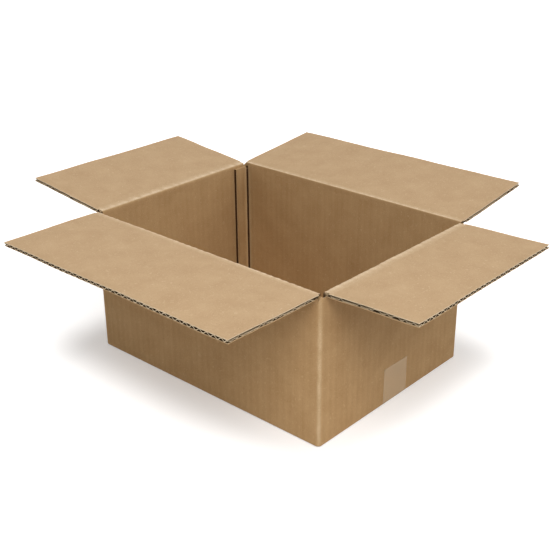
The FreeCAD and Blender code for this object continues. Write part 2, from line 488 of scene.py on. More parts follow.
    @staticmethod
    def _mix(tree: Tree, share: Any, first: Any, second: Any) -> Socket:
        """The first colour mixed with the second by a share from 0 to 1."""
        inputs = {MIX_SHARE: share, MIX_FIRST: first, MIX_SECOND: second}
        return add_node(tree, "Mix", inputs, data_type="RGBA").outputs[MIX_COLOUR]


@dataclass(frozen=True)
class TapeFilm:
    """Polypropylene packing tape: a cast clear film with a thin acrylic glue under it.

    The eye sees the paper through a slightly paler, smoother layer with a soft shine.
    """

    name: str = "cast_polypropylene_tape"
    tint: str = "#F4D8AE"
    share: float = 0.34
    roughness: float = 0.34
    wrinkle_size: float = 9.0 * MM
    wrinkle_depth: float = 0.1 * MM
    wrinkle_strength: float = 0.3

    def material(self) -> Material:
        """Builds the film, with faint long wrinkles in its shine.

        Returns:
            The material.
        """
        material, tree = new_material(self.name)
        place = add_node(tree, "TexCoord").outputs["Object"]
        inputs = {"Vector": place, "Scale": 1 / self.wrinkle_size, "Detail": 2.0}
        wrinkle = add_node(tree, "TexNoise", inputs).outputs[0]
        bump = add_node(tree, "Bump", {"Strength": self.wrinkle_strength, "Distance": self.wrinkle_depth,
                                       "Height": wrinkle})
        shader = add_node(tree, "BsdfPrincipled", {
            "Base Color": linear_colour(self.tint), "Alpha": self.share, "Roughness": self.roughness,
            "IOR": 1.49, "Normal": bump.outputs[0]})
        add_node(tree, "OutputMaterial", {"Surface": shader.outputs[0]})
        return material


@dataclass(frozen=True)
class WhiteSweep:
    """A matt white paper sweep, which reads as plain white and keeps the box's shadow."""

    name: str = "matt_white_paper_sweep"
    paper: str = "#CCCCCC"
    seen_paper: str = "#E7E7E7"
    near_glow: float = 0.30
    far_glow: float = 0.70
    fade_start: float = 10.0 * MM
    fade_end: float = 80.0 * MM
    outline: tuple[float, float, float] = (152.5 * MM, 114.5 * MM, 0.0)

    def material(self) -> Material:
        """Builds the sweep. The camera and mirrors see a paler one, with a glow that makes it white.

        The glow grows with the distance from the box's outline, which is the length of
        (|x| - half length, |y| - half width) with each part held above zero, so that the
        shadow stays close to the box. The weaker glow near the box paints shade round its base,
        added to the real shadow.

        Returns:
            The material.
        """
        material, tree = new_material(self.name)
        seen = seen_directly(tree)
        inputs = {MIX_SHARE: seen, MIX_FIRST: linear_colour(self.paper),
                  MIX_SECOND: linear_colour(self.seen_paper)}
        colour = add_node(tree, "Mix", inputs, data_type="RGBA").outputs[MIX_COLOUR]
        paper = add_node(tree, "BsdfDiffuse", {"Color": colour})
        place = add_node(tree, "TexCoord").outputs["Object"]
        for operation, other in (("ABSOLUTE", None), ("SUBTRACT", self.outline), ("MAXIMUM", (0, 0, 0))):
            inputs = {0: place} if other is None else {0: place, 1: other}
            place = add_node(tree, "VectorMath", inputs, operation=operation).outputs[0]
        away = add_node(tree, "VectorMath", {0: place}, operation="LENGTH").outputs["Value"]
        inputs = {"Value": away, "From Min": self.fade_start, "From Max": self.fade_end,
                  "To Min": self.near_glow, "To Max": self.far_glow}
        fade = add_node(tree, "MapRange", inputs, interpolation_type="SMOOTHSTEP").outputs[0]
        strength = add_node(tree, "Math", {0: seen, 1: fade}, operation="MULTIPLY").outputs[0]
        glow = add_node(tree, "Emission", {"Strength": strength})
        both = add_node(tree, "AddShader", {0: paper.outputs[0], 1: glow.outputs[0]})
        add_node(tree, "OutputMaterial", {"Surface": both.outputs[0]})
        return material


def seen_directly(tree: Tree) -> Socket:
    """One for camera, glossy and transmission rays, and zero for the rest."""
    path = add_node(tree, "LightPath").outputs
    seen = path["Is Camera Ray"]
    for ray in ("Is Glossy Ray", "Is Transmission Ray"):
        seen = add_node(tree, "Math", {0: seen, 1: path[ray]}, operation="MAXIMUM").outputs[0]
    return seen


@dataclass(frozen=True)
class Finishes:
    """The materials of the box, made once and shared by its pieces."""

    inside: Material
    inside_wall: Material
    outside: Material
    cut: Material
    medium: Material
    body: Material
    film: Material

    @classmethod
    def build(cls) -> "Finishes":
        """Makes every material of the box."""
        # The inner liner is one paper in two copies: the flap tops paler, a painted sheen, and the inner
        # walls darker and more saturated, painted shade inside the box. The box body takes the shaded copy
        # too. Each worn colour serves real wear and painted highlights.
        inside = dict(light="#C9AB86", dark="#B0906B", fibre="#DEC8A7", speck="#8F6E49", worn_and_highlight="#EBD5B4")
        walls = dict(light="#BD9C71", dark="#A27F54", fibre="#CEB38C", speck="#82623C", worn_and_highlight="#D2B68F")
        outside = dict(light="#CAA577", dark="#AB8556", fibre="#DCBD92", speck="#886539", worn_and_highlight="#E0C299")
        # The die shears the liners clean, which bares pale dry fibre along the cut edges. Their pale
        # colour is partly that fibre and partly a painted highlight on edges that catch the light.
        cut = dict(light="#E6D2B2", dark="#CDB38D", fibre="#EFE0C6", speck="#A98A62", worn_and_highlight="#E6D2B2")
        # The medium is recycled and hardwood pulp. It is darker here than the real paper, as painted
        # shade of the deep flutes, so that they read as deep holes in the cut edge, which a pixel of
        # 1.2 mm would blur away. The same dark paper is painted shade in the tab's edge and crushed
        # fold and on the folded liners' rims.
        medium = dict(light="#513923", dark="#372617", fibre="#684C31", speck="#2C1E12", worn_and_highlight="#DCC19A")
        return cls(
            inside=KraftPaper("unbleached_kraft_liner_inside", streaks=0.08, flute_tone=0.01,
                              **inside).material(),
            inside_wall=KraftPaper("unbleached_kraft_liner_inside_walls", streaks=0.35, **walls).material(),
            outside=KraftPaper("unbleached_kraft_liner_outside", **outside).material(),
            cut=KraftPaper("die_cut_kraft_edge", streaks=0.0, **cut).material(),
            medium=KraftPaper("semichemical_fluting_paper", streaks=0.1, specular=0.05, **medium).material(),
            body=KraftPaper("unbleached_kraft_board", pattern=Pattern.BOX, **walls).material(),
            film=TapeFilm().material(),
        )

    @property
    def board_skins(self) -> list[Material]:
        """The materials in the order of Skin."""
        return [self.inside, self.outside, self.cut, self.medium, self.inside_wall]


@dataclass(frozen=True)
class Crease:
    """The axes of one top crease, taken from its joint in the frame.

    Level coordinates are r outwards from the joint's axis, s along it, and h upwards, for a
    flap that lies level. The flap's upper limit is half a turn from level, which gives its rise.
    """

    side: Side
    pivot: np.ndarray
    rise: float

    @classmethod
    def of(cls, side: Side) -> "Crease":
        """Finds the side's joint in the frame."""
        joint = next(j for j in frame["joints"] if j["child"] == side.label)
        return cls(side, np.array(joint["pos_m"], float), math.radians(180 - joint["range_deg"][1]))

    @property
    def along(self) -> np.ndarray:
        """The unit vector along the crease, so that outward, along and up are right-handed."""
        return np.cross(UP, self.side.outward)

    def flap_axes(self, rise: Optional[float] = None) -> tuple[np.ndarray, np.ndarray]:
        """The directions of r and h on the flap, turned up from level by its rise."""
        turn = self.rise if rise is None else rise
        outward = math.cos(turn) * self.side.outward + math.sin(turn) * UP
        upward = math.cos(turn) * UP - math.sin(turn) * self.side.outward
        return outward, upward

    def on_flap(self, r: np.ndarray, s: np.ndarray, h: np.ndarray,
                rise: Optional[float] = None) -> np.ndarray:
        """Points of the frame for level coordinates on the flap.

        Args:
            r: outwards from the axis.
            s: along the axis.
            h: upwards from the axis.
            rise: another angle than the flap's own, in radians.

        Returns:
            Points, with a last axis of three.
        """
        outward, upward = self.flap_axes(rise)
        r, s, h = np.broadcast_arrays(r, s, h)
        return self.pivot + r[..., None] * outward + s[..., None] * self.along + h[..., None] * upward

    def on_wall(self, r: np.ndarray, s: np.ndarray, h: np.ndarray) -> np.ndarray:
        """Points of the frame for level coordinates that don't turn with the flap."""
        return self.on_flap(r, s, h, 0.0)

    def level_points(self, node: str) -> np.ndarray:
        """A node's vertices in level coordinates of the flap, as n x 3."""
        mesh = frame["nodes"][node].data
        co = np.zeros(len(mesh.vertices) * 3, np.float32)
        mesh.vertices.foreach_get("co", co)
        away = co.reshape(-1, 3).astype(float) - self.pivot
        outward, upward = self.flap_axes()
        return np.stack((away @ outward, away @ self.along, away @ upward), -1)


@dataclass
class TopFlap:
    """A top flap as the board it is: two liners, the waved medium, and the pressed root."""

    crease: Crease
    warp: float = 0.25 * MM
    warp_wave: float = 90.0 * MM
    warp_start: float = 40.0 * MM
    nick: float = 0.14 * MM
    nick_band: float = 3.0 * MM
    nick_wave: float = 5.0 * MM
    nick_bias: float = 0.8
    print_start: float = 5.0 * MM
    bend_band: float = 6.0 * MM
    spring_band: float = 2.0 * MM
    burr_band: float = 0.4 * MM
    fray_band: float = 0.5 * MM
    edge_wear_and_highlight_band: float = 1.0 * MM
    tear: float = 0.9 * MM
    tear_wave: float = 4.0 * MM
    torn_reach: float = 4.2 * MM
    torn_ease: float = 2.4 * MM
    scrap_wave: float = 3.2 * MM
    scrap_height: float = 1.8
    root_inset: float = 1.8 * MM
    liner_rows: int = 12
    medium_rows: int = 42
    medium_steps: int = 9
    edge_wear_and_highlight: float = 0.5
    seed: int = 1

    def __post_init__(self) -> None:
        """Reads the flap's sizes from its node in the frame, in level coordinates."""
        points = self.crease.level_points(self.node)
        low, high = points.min(0), points.max(0)
        near = 0.02 * MM
        self.reach = float(high[0])
        self.half_width = float(high[1])
        self.floor, self.top = float(low[2]), float(high[2])
        self.top_root = float(points[points[:, 2] > self.top - near, 0].min())
        self.floor_root = float(points[points[:, 2] < self.floor + near, 0].min())
        tip = points[points[:, 0] < low[0] + near]
        self.tip = (float(tip[:, 0].mean()), float(tip[:, 2].mean()))

    @property
    def node(self) -> str:
        """The CAD node that the flap stands for."""
        return self.crease.side.label + "_flap"

    def build(self, finishes: Finishes) -> Piece:
        """Builds the flap and lets it ride on its body.

        Args:
            finishes: the box's materials.

        Returns:
            The flap's piece.
        """
        shells = [self._liner(self.top, -1.0, Skin.INSIDE, self.top_root),
                  self._liner(self.floor, 1.0, Skin.OUTSIDE, self.floor_root),
                  self._medium(), self._root()]
        piece = add_piece(self.node + "_board", shells, finishes.board_skins)
        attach(piece, self.crease.side.label)
        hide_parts(self.node)
        report(piece)
        return piece

    def lines_across(self) -> np.ndarray:
        """Places along the crease, six to a flute."""
        count = int(round(2 * self.half_width / BOARD.pitch * LINES_PER_FLUTE)) + 1
        return np.linspace(-self.half_width, self.half_width, count)

    def _outline(self, r: np.ndarray, s: np.ndarray, seed: int) -> tuple[np.ndarray, np.ndarray]:
        """Moves the cut edges in and out by a few hundredths of a millimetre.

        The far edge moves by a ripple along s and the side edges by a ripple along r, and
        the move fades to nothing a nick band in from each edge.
        """
        far = edge_fade(self.reach - r, self.nick_band)
        side = edge_fade(self.half_width - np.abs(s), self.nick_band) * np.sign(s)
        shift = ripple(s, 0 * s, self.nick_wave, seed) - self.nick_bias
        sideways = ripple(r, s, 1.2 * self.nick_wave, seed + 1) - self.nick_bias
        return r + far * shift * self.nick, s + side * sideways * self.nick

    def _sag(self, r: np.ndarray, s: np.ndarray) -> np.ndarray:
        """A slow ripple of the whole panel, with nothing of it at the crease."""
        return self.warp * ripple(r, s, self.warp_wave, self.seed + 40) * smoothstep(r / self.warp_start)

    def flute_phase(self, s: np.ndarray) -> np.ndarray:
        """The flutes' phase at a place along the crease, which puts crests as the CAD flap does."""
        count = int((2 * self.half_width - 2 * BOARD.side_margin) / BOARD.pitch)
        return math.tau * s / BOARD.pitch + (math.pi if count % 2 == 0 else 0.0)

    def _liner(self, level: float, inward: float, skin: Skin, root: float) -> Shell:
        """One liner: a thin sheet whose outer face shows the flutes under it.

        The height is the level plus the flutes' cosine times the print depth plus the sag. At
        the cut edges the sheet springs a little off the medium over the spring band, and the
        die leaves a burr that thickens the burr band.
        """
        ends = self.reach - np.array((self.spring_band, 0.5 * self.spring_band, self.burr_band, 0.0))
        bend_end = root + self.bend_band
        r_line = np.concatenate((np.linspace(root, bend_end, 5)[:-1],
                                 np.linspace(bend_end, ends[0], self.liner_rows)[:-1], ends))
        r, s = np.meshgrid(r_line, self.lines_across(), indexing="ij")
        fade = smoothstep((r - root) / self.print_start)
        relief = fade * BOARD.print_depth * np.cos(self.flute_phase(s))
        height = level + relief + self._sag(r, s)
        moved_r, moved_s = self._outline(r, s, self.seed + 2 + int(inward))
        edge = np.minimum(self.reach - r, self.half_width - np.abs(s))
        thick = BOARD.liner + BOARD.burr * edge_fade(edge, self.burr_band)
        height = height - inward * BOARD.sprung * edge_fade(edge, self.spring_band) * fade
        outer = self.crease.on_flap(moved_r, moved_s, height)
        inner = self.crease.on_flap(moved_r, moved_s, height + inward * thick)
        # Near the cut edges the liner takes its worn colour: partly rubbed fibre and partly a painted
        # highlight along the bright edges.
        wear = self.edge_wear_and_highlight * edge_fade(edge, self.edge_wear_and_highlight_band)
        rim = Skin.CUT if skin is Skin.INSIDE else Skin.OUTSIDE
        return closed_sheet(outer, inner, np.stack((s, r), -1), wear, (skin, Skin.MEDIUM, rim))

    def _medium(self) -> Shell:
        """The waved medium: a sheet whose height is the board's middle plus a cosine of s.

        Towards each side edge the wave gives way to a torn flange that lies on the lower
        liner, with scraps standing up where a ripple along r is high.
        """
        start = max(self.tip[0], self.top_root, self.floor_root) + BOARD.pressed - 0.5 * MM
        ends = self.reach - np.array((1.0, 0.55, 0.2)) * MM
        r_line = np.concatenate((np.linspace(start, ends[0], self.medium_rows)[:-1], ends))
        share = np.linspace(-1, 1, int(round(2 * self.half_width / BOARD.pitch * self.medium_steps)) + 1)
        r, t = np.meshgrid(r_line, share, indexing="ij")
        torn = self.tear * (0.6 + 0.4 * ripple(r, t, self.tear_wave, self.seed + 7)) + 0.1 * MM
        s = t * (self.half_width - torn)
        middle = (self.floor + self.top) / 2
        sprung = BOARD.sprung * edge_fade(ends[-1] - r, self.spring_band)
        wave = (BOARD.wave + sprung) * np.cos(self.flute_phase(s))
        flange = smoothstep((np.abs(s) - self.half_width + self.torn_reach) / self.torn_ease)
        scraps = smoothstep((ripple(r, 0 * r, self.scrap_wave, self.seed + 9) - 0.2) / 0.4)
        low = -BOARD.wave + scraps * self.scrap_height * BOARD.wave
        height = middle + (1 - flange) * wave + flange * low + self._sag(r, s)
        half = BOARD.medium / 2 + BOARD.frayed * edge_fade(ends[-1] - r, self.fray_band)
        upper = self.crease.on_flap(r, s, height + half)
        lower = self.crease.on_flap(r, s, height - half)
        skins = (Skin.MEDIUM, Skin.MEDIUM, Skin.CUT)
        return closed_sheet(upper, lower, np.stack((s, r), -1), 0.8 * flange, skins)

    def _root(self) -> Shell:
        """The board pressed solid beside the crease, between its upper and lower faces."""
        hidden, thin = 0.2 * MM, 0.02 * MM
        end = max(self.tip[0], self.top_root, self.floor_root) + BOARD.pressed
        r = np.array(((self.tip[0], self.tip[0]), (self.top_root, self.floor_root), (end, end)))
        full = (self.top - hidden, self.floor + hidden)
        h = np.array(((self.tip[1] + thin, self.tip[1] - thin), full, full))
        s = np.array((-1.0, 1.0)) * (self.half_width - self.root_inset)
        upper = self.crease.on_flap(r[:, :1], s[None], h[:, :1])
        lower = self.crease.on_flap(r[:, 1:], s[None], h[:, 1:])
        flat = paired(s[None], r[:, :1])
        skins = (Skin.INSIDE, Skin.OUTSIDE, Skin.MEDIUM)
        return closed_sheet(upper, lower, flat, np.zeros(flat.shape[:2]), skins)


@dataclass
class FoldedLiner:
    """A liner where it bends over a crease, from the wall to the flap, on one side of the board.

    Its line across the crease is a cubic curve that leaves the wall upwards and joins the
    flap along its face. The inner liner bulges off the board there, and is filled behind as far
    as the chord of its curve. The outer one is as thick all along.
    """

    flap: TopFlap
    wall_corner: tuple[float, float]
    flap_corner: tuple[float, float]
    name: str
    skin: Skin
    fullness: float = 1.12
    overlap: float = 7.0 * MM
    crumple: float = 0.16 * MM
    crumple_wave: float = 14.0 * MM
    crumple_height: float = 12.0 * MM
    proud: float = 0.06 * MM
    wall_proud: float = 0.22 * MM
    sunk: float = 0.1 * MM
    fill: float = 0.3 * MM
    wear: float = 0.8
    crest: float = 0.72
    crest_width: float = 0.26
    wall_share: float = 0.42
    seed: int = 100

    def build(self, finishes: Finishes) -> Piece:
        """Builds the bent liner.

        Args:
            finishes: the box's materials.

        Returns:
            The liner's piece.
        """
        crease = self.flap.crease
        s_line = self.flap.lines_across()[1:-1]
        line, normal, share = self._curve()
        s = s_line[None, :]
        middle = (4 * share * (1 - share))[:, None]
        flutes = np.cos(self.flap.flute_phase(s))
        waves = ripple(s, share[:, None] * self.crumple_height, self.crumple_wave, self.seed)
        uneven = 0.55 * flutes + 0.75 * waves
        rest = self.wall_proud + (self.proud - self.wall_proud) * share[:, None]
        rest[0] = rest[-1] = -self.sunk
        lift = rest + middle * self.crumple * (uneven - 0.4)
        r = line[:, :1] + normal[:, :1] * lift
        h = line[:, 1:] + normal[:, 1:] * lift
        outer = crease.on_wall(r, s, h)
        behind = line.copy()
        if self.skin is Skin.INSIDE:
            behind[1:-1] = line[1] + (line[-2] - line[1]) * share[1:-1, None]
        behind -= normal * self.fill
        inner = crease.on_wall(behind[:, :1], s, behind[:, 1:])
        flat = paired(s, path_length(line)[:, None])
        # A paler band on the crest of the bend: partly rubbed crease fibre and partly a painted highlight
        # where the crest catches the light.
        crest = np.exp(-((share - self.crest) / self.crest_width) ** 2)[:, None]
        crest[0] = crest[-1] = 0.0
        wear = np.clip(self.wear * crest * (0.8 + 0.3 * uneven), 0, 1)
        # The back and rims are the dark medium paper: painted shade at the liner's narrow ends.
        shell = closed_sheet(outer, inner, flat, wear, (self.skin, Skin.MEDIUM, Skin.MEDIUM))
        if self.skin is Skin.INSIDE:
            on_wall = int((share < self.wall_share).sum()) * (len(s_line) - 1)
            shell.skins[:on_wall] = Skin.WALL.value
        piece = add_piece(self.name, [shell], finishes.board_skins)
        start = crease.on_wall(*(np.array(v) for v in (self.wall_corner[0], 0.0, self.wall_corner[1])))
        end = crease.on_flap(*(np.array(v) for v in (self.flap_corner[0], 0.0, self.flap_corner[1])))
        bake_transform(piece)
        report(piece)
        return piece

    def _curve(self) -> tuple[np.ndarray, np.ndarray, np.ndarray]:
        """The line across the crease at rest.

        A cubic Bezier curve runs from the wall's corner a, with its handle straight up, to the
        flap's corner b, with its handle along the flap. Straight runs before and after it sink
        into the wall and the flap, so that neither end shows a step.

        Returns:
            Points (r, h), unit normals away from the board, and the share from wall to flap.
        """
        turn = self.flap.crease.rise
        flap_way = np.array((math.cos(turn), math.sin(turn)))
        flap_up = np.array((-math.sin(turn), math.cos(turn)))
        wall_way = np.array((0.0, 1.0))
        a = np.array(self.wall_corner)
        b = self.flap_corner[0] * flap_way + self.flap_corner[1] * flap_up
        handles = np.abs(b - a)
        t = np.linspace(0, 1, ARC_POINTS)[:, None]
        first = a + wall_way * handles[1] * self.fullness
        second = b - flap_way * handles[0] * self.fullness
        bend = (1 - t) ** 3 * a + 3 * (1 - t) ** 2 * t * first + 3 * (1 - t) * t ** 2 * second + t ** 3 * b
        before = a - wall_way * self.overlap
        after = b + flap_way * self.overlap
        line = np.concatenate((before[None], bend, after[None]))
        share = np.concatenate(([0.0], t[:, 0], [1.0]))
        slope = np.gradient(line, axis=0)
        slope /= np.linalg.norm(slope, axis=1, keepdims=True)
        side = -1.0 if self.skin is Skin.INSIDE else 1.0
        normal = side * np.stack((slope[:, 1], -slope[:, 0]), -1)
        return line, normal, share


@dataclass
class WallLiners:
    """The outer and inner liners of the four walls and the glue tab, as laid on the folded board."""

    half_length: float = 152.5 * MM
    half_width: float = 114.5 * MM
    corner: float = 4.0 * MM
    bottom_corner: float = 1.6 * MM
    bottom: float = 0.1 * MM
    raw_end_gap: float = 1.0 * MM
    tab_corner: float = 3.0 * MM
    tab_reach: float = 24.0 * MM
    tab_top: float = 148.0 * MM
    tab_head: float = 3.3 * MM
    inside_floor: float = 6.7 * MM
    long_outer_top: float = 147.2 * MM
    long_tip: tuple[float, float] = (1.7 * MM, 153.5 * MM)
    long_inner_top: float = 152.0 * MM
    wall_run: float = 150.0 * MM
    short_outer_top: float = 151.56 * MM
    proud: float = 0.12 * MM
    edge_rise: float = 0.1 * MM
    crumple: float = 0.09 * MM
    crumple_wave: float = 16.0 * MM
    fine_wave: float = 5.0 * MM
    fold_band: float = 1.8 * MM
    flap_shade_start: float = 118.0 * MM
    flap_shade_reach: float = 30.0 * MM
    flap_shade: float = 0.6
    panel_rows: int = 20
    panel_print: float = 1.3
    panel_warp: float = 0.05 * MM
    panel_wave: float = 40.0 * MM
    lip_wave: float = 18.0 * MM
    strip: float = 0.1 * MM
    lip_height: float = 0.9 * MM
    lip_width: float = 1.0 * MM
    groove: float = 4.6 * MM
    seed: int = 200

    def build(self, finishes: Finishes) -> list[Piece]:
        """Builds both liners and lets them ride on the box.

        Args:
            finishes: the box's materials.

        Returns:
            The outer liner, the inner liners and the glue tab's head.
        """
        pieces = [add_piece("outer_wall_liner", [self._outer()], finishes.board_skins),
                  add_piece("inner_wall_liner", self._inner_panels(), finishes.board_skins),
                  add_piece("glue_tab_head", self._tab_head(), finishes.board_skins)]
        for piece in pieces:
            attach(piece, "box")
            report(piece)
        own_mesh(pieces[2])
        return pieces

    def _plan(self) -> tuple[np.ndarray, np.ndarray, np.ndarray]:
        """The walls' outline from above, from the left wall's raw end round to the tab's fold.

        Straight runs join quarter circles: on an arc, the point is its centre plus its
        radius times (cosine, sine) of an angle, and that pair is the outward normal.

        Returns:
            Points and unit normals in plan, and the distance along the outline.
        """
        x, y, c = self.half_length, self.half_width, self.corner
        inside_left = -x + BOARD.thickness
        arcs = (((-x + c, -y + c), c, 180), ((x - c, -y + c), c, 270), ((x - c, y - c), c, 360),
                ((inside_left + self.tab_corner, y - self.tab_corner), self.tab_corner, 450))
        points = [np.array(((-x, y - self.raw_end_gap),))]
        normals = [np.array(((-1.0, 0.0),))]
        for centre, radius, first_angle in arcs:
            angle = np.radians(np.linspace(first_angle, first_angle + 90, ARC_POINTS))
            ring = np.stack((np.cos(angle), np.sin(angle)), -1)
            start = np.array(centre) + radius * ring[0]
            gap = start - points[-1][-1]
            run = np.linalg.norm(gap)
            steps = np.linspace(0, 1, max(3, int(run / BOARD.pitch * LINES_PER_FLUTE)))[1:-1, None]
            points += [points[-1][-1] + gap * steps, np.array(centre) + radius * ring]
            normals += [np.repeat(ring[:1], len(steps), 0), ring]
        points, normals = np.concatenate(points), np.concatenate(normals)
        return points, normals, path_length(points)

    def _outer_top(self, points: np.ndarray) -> np.ndarray:
        """How high the outer face stands: the higher of the two walls' top edges at that place."""
        from_side = self.half_length - np.abs(points[:, 0])
        from_long = self.half_width - np.abs(points[:, 1])
        slope = (self.long_tip[1] - self.long_outer_top) / self.long_tip[0]
        long_top = np.minimum(self.long_outer_top + slope * from_long,
                              self.long_tip[1] + self.long_tip[0] - from_long)
        long_top = np.where(from_long < BOARD.thickness, long_top, 0)
        short_top = np.where(from_side < BOARD.thickness, self.short_outer_top - from_side, 0)
        return np.maximum(long_top, short_top)

    def _outer(self) -> Shell:
        """The outer liner. It stands off the wall by the flutes' print and by crumples at the folds.

        Near the bottom it rounds in: the inset is r minus the root of r squared minus d
        squared, where d is how far the place lies below the rounding's centre.
        """
        points, normals, distance = self._plan()
        top = self._outer_top(points)
        rounding = self.bottom_corner / self.wall_run
        share = np.concatenate((np.linspace(0, 1, 5)[:-1] * rounding, np.linspace(rounding, 0.9, 22),
                                (0.93, 0.96, 0.98, 1.0)))
        low = self.bottom + self.edge_rise
        z = low + share[:, None] * (top - low)[None]
        fold = np.exp(-(self._fold_distance(points) / self.fold_band) ** 2)[None]
        uneven = 0.7 * ripple(z, distance[None], self.crumple_wave, self.seed)
        uneven = uneven + 0.5 * ripple(z, distance[None], self.fine_wave, self.seed + 1)
        offset = self.proud + BOARD.print_depth * np.cos(math.tau * distance / BOARD.pitch)[None]
        offset = offset * np.ones_like(z) + self.crumple * fold * (0.5 * uneven - 0.25)
        drop = np.clip(self.bottom + self.bottom_corner - z, 0, self.bottom_corner)
        inset = self.bottom_corner - np.sqrt(self.bottom_corner ** 2 - drop ** 2)
        depth = offset - inset
        front = self._raised(points, normals, z, depth)
        back = self._raised(points, normals, z, depth - BOARD.liner)
        # Along the upright folds the paper takes its worn colour: partly stretched, rubbed fibre and partly
        # a painted highlight on the rounded fold. Near the top this fades, as painted shade of the flaps.
        outside_flap_shade = 1 - self.flap_shade * smoothstep((z - self.flap_shade_start) / self.flap_shade_reach)
        wear = np.clip(fold * (0.9 + 0.35 * uneven) * outside_flap_shade, 0, 1)
        return closed_sheet(front, back, paired(distance[None], z), wear,
                            (Skin.OUTSIDE, Skin.MEDIUM, Skin.CUT))

    def _fold_distance(self, points: np.ndarray) -> np.ndarray:
        """How far each place of the outline lies from the nearest upright fold."""
        corner = np.array((self.half_length, self.half_width)) - 0.3 * self.corner
        return np.linalg.norm(np.abs(points) - corner, axis=1)

    @staticmethod
    def _raised(points: np.ndarray, normals: np.ndarray, z: np.ndarray, depth: np.ndarray) -> np.ndarray:
        """Points of the wall, moved out along the outline's normals by the depth."""
        plan = points[None] + normals[None] * depth[..., None]
        return np.concatenate((plan, z[..., None]), -1)

    def _inner_panels(self) -> list[Shell]:
        """The inner liners: one panel on each wall, and one on the glue tab."""
        x = self.half_length - BOARD.thickness
        y = self.half_width - BOARD.thickness
        short_top = self.short_outer_top - BOARD.thickness
        free_edge = self.half_width - self.tab_reach
        tab_x = -x + BOARD.thickness
        runs = (((-x, -y), (x, -y), self.long_inner_top), ((x, -y), (x, y), short_top),
                ((x, y), (tab_x, y), self.long_inner_top), ((-x, free_edge), (-x, -y), short_top),
                ((tab_x, y - self.groove), (tab_x, free_edge), self.tab_top))
        floor = self.inside_floor + 0.02 * MM
        panels = [self._panel(np.array(start), np.array(end), (floor, top), number)
                  for number, (start, end, top) in enumerate(runs)]
        heights = (floor, self.tab_top)
        # A dark strip in the crushed fold between the back wall and the tab: painted shade.
        groove = self._bare_medium_and_painted_shade((tab_x, y), (tab_x, y - self.groove), heights)
        return panels + [self._tab_edge(heights), groove]

    def _tab_edge(self, heights: tuple[float, float]) -> Shell:
        """The cut edge of the tab's free end, between the wall and the tab's liner: bare medium, drawn dark
        as painted shade.
        """
        wall_x = -self.half_length + BOARD.thickness
        free_edge = self.half_width - self.tab_reach
        return self._bare_medium_and_painted_shade((wall_x + self.strip, free_edge),
                                 (wall_x + BOARD.thickness - BOARD.liner, free_edge), heights)

    def _tab_head(self) -> list[Shell]:
        """The tab's last millimetres below the left crease, which the closing flap presses down."""
        tab_x = -self.half_length + 2 * BOARD.thickness
        fold = self.half_width - BOARD.thickness
        inner_end = fold - self.groove
        heights = (self.tab_top - self.edge_rise, self.tab_top + self.tab_head)
        head = self._panel(np.array((tab_x, inner_end)), np.array((tab_x, self.half_width - self.tab_reach)),
                           heights, 4, BOARD.thickness - 0.2 * MM, Skin.WALL)
        # A dark strip in the crushed fold beside the tab's head: painted shade.
        recess = tab_x - 1.0 * MM
        return [head, self._bare_medium_and_painted_shade((recess, fold), (recess, inner_end), heights),
                self._tab_edge(heights)]

    def _bare_medium_and_painted_shade(self, start: tuple[float, float], end: tuple[float, float],
                     heights: tuple[float, float]) -> Shell:
        """A strip of the dark medium paper: bare medium and painted shade in the tab's cut edge, painted
        shade alone in its crushed fold.
        """
        points = np.array((start, end))
        way = (points[1] - points[0]) / np.linalg.norm(points[1] - points[0])
        inward = np.array((-way[1], way[0])) * self.strip
        z = np.array(heights)[:, None]
        front = paired(*(points + inward).T, z)
        back = paired(*(points - 3 * inward).T, z)
        flat = paired(points.sum(1), z)
        return closed_sheet(front, back, flat, np.zeros(flat.shape[:2]), (Skin.MEDIUM,) * 3)

    def _panel(self, start: np.ndarray, end: np.ndarray, heights: tuple[float, float], number: int,
               thick: float = BOARD.liner, rim: Skin = Skin.CUT) -> Shell:
        """A flat panel of inner liner, raised by the flutes' print and a slow ripple.

        Args:
            start: its first corner, from above.
            end: its last corner, with the wall's inner side on the left of the way there.
            heights: its lowest and highest z.
            number: the panel's place in the row of panels, which shifts its pattern.
            thick: how far its back lies behind its face.
            rim: the skin of its narrow sides.

        Returns:
            The panel.
        """
        run = np.linalg.norm(end - start)
        share = np.linspace(0, 1, int(run / BOARD.pitch * LINES_PER_FLUTE) + 2)
        points = start + (end - start) * share[:, None]
        inward = np.array((-(end - start)[1], (end - start)[0])) / run
        z = np.linspace(*heights, self.panel_rows)[:, None] * np.ones((1, len(share)))
        distance = share[None] * run
        relief = BOARD.print_depth * self.panel_print * np.cos(math.tau * distance / BOARD.pitch)
        depth = self.proud + relief
        depth = depth + self.panel_warp * ripple(distance, z, self.panel_wave, self.seed + 10 + number)
        lip_height = 1 + 0.12 * ripple(z, 0 * z, self.lip_wave, self.seed + 30)
        depth = depth + self._lip(number, distance, run) * lip_height
        normals = np.repeat(inward[None], len(share), 0)
        front = self._raised(points, normals, z, depth)
        back = self._raised(points, normals, z, depth - thick)
        flat = paired(distance + number * 0.5, z)
        wear = 0.5 * self._lip(number, distance, run) / self.lip_height * np.ones_like(z)
        return closed_sheet(front, back, flat, wear, (Skin.WALL, Skin.MEDIUM, rim))

    def _lip(self, number: int, distance: np.ndarray, run: float) -> np.ndarray:
        """How far the liner bulges beside the crushed fold between the back wall and the glue tab.

        The formula is a bell curve of the distance from the fold, on those two panels only.
        """
        from_fold = {2: run - distance - self.lip_width, 4: distance - 0.3 * self.lip_width}.get(number)
        if from_fold is None:
            return 0 * distance
        return self.lip_height * np.exp(-(from_fold / self.lip_width) ** 2)


